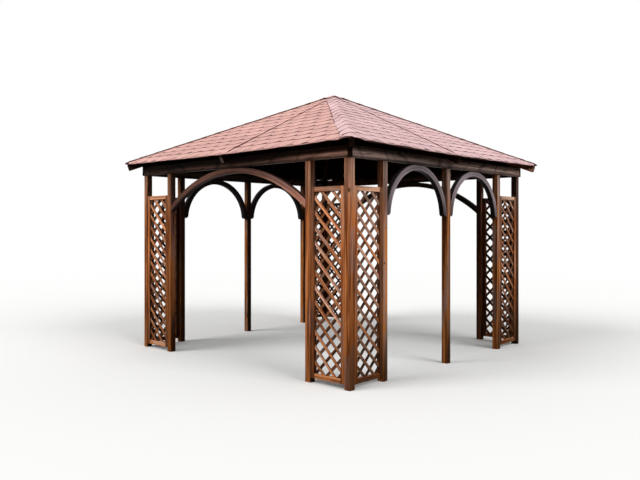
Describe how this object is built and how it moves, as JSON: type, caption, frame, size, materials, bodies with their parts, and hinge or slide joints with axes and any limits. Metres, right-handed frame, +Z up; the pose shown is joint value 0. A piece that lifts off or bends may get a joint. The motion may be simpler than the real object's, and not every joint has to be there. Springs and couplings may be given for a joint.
{
  "type": "garden gazebo",
  "caption": "Square open timber gazebo: posts with a ring beam, arches, crossed-slat trellis corners and a low hipped shingle roof.",
  "frame": {"origin": "on the ground under the middle of the roof, halfway between the posts", "axes": "+Z up through the apex; +X towards the right side with its two round arches; -Y towards the front with its wide arch"},
  "size_m": [3.65, 3.65, 3.1098],
  "materials": {
    "post_wood": "orange-brown stained softwood, satin",
    "trellis_wood": "orange-brown stained softwood slats, satin",
    "beam_wood": "dark brown stained softwood, satin",
    "arch_wood": "brown stained laminated softwood, satin",
    "rafter_wood": "dark brown stained sawn softwood",
    "deck_wood": "dark brown stained boards",
    "shingle": "red mineral granules on bitumen, matt"
  },
  "bodies": {
    "root": {"corner_post_front_right": "post_wood", "corner_post_back_right": "post_wood", "corner_post_back_left": "post_wood", "corner_post_front_left": "post_wood", "flank_post_front_a": "post_wood", "flank_post_front_b": "post_wood", "flank_post_right_a": "post_wood", "flank_post_right_b": "post_wood", "flank_post_back_a": "post_wood", "flank_post_back_b": "post_wood", "flank_post_left_a": "post_wood", "flank_post_left_b": "post_wood", "mid_post_right": "post_wood", "mid_post_left": "post_wood", "trellis_front_a": "trellis_wood", "trellis_front_b": "trellis_wood", "trellis_right_a": "trellis_wood", "trellis_right_b": "trellis_wood", "trellis_back_a": "trellis_wood", "trellis_back_b": "trellis_wood", "trellis_left_a": "trellis_wood", "trellis_left_b": "trellis_wood", "beam_front": "beam_wood", "beam_right": "beam_wood", "beam_back": "beam_wood", "beam_left": "beam_wood", "wide_arch_front": "arch_wood", "wide_arch_back": "arch_wood", "round_arch_right_a": "arch_wood", "round_arch_right_b": "arch_wood", "round_arch_left_a": "arch_wood", "round_arch_left_b": "arch_wood", "hip_rafter_front_right": "rafter_wood", "hip_rafter_back_right": "rafter_wood", "hip_rafter_back_left": "rafter_wood", "hip_rafter_front_left": "rafter_wood", "common_rafter_front": "rafter_wood", "common_rafter_right": "rafter_wood", "common_rafter_back": "rafter_wood", "common_rafter_left": "rafter_wood", "king_block": "rafter_wood", "deck_front": "deck_wood", "deck_right": "deck_wood", "deck_back": "deck_wood", "deck_left": "deck_wood", "shingles_front": "shingle", "shingles_right": "shingle", "shingles_back": "shingle", "shingles_left": "shingle"}
  },
  "joints": []
}
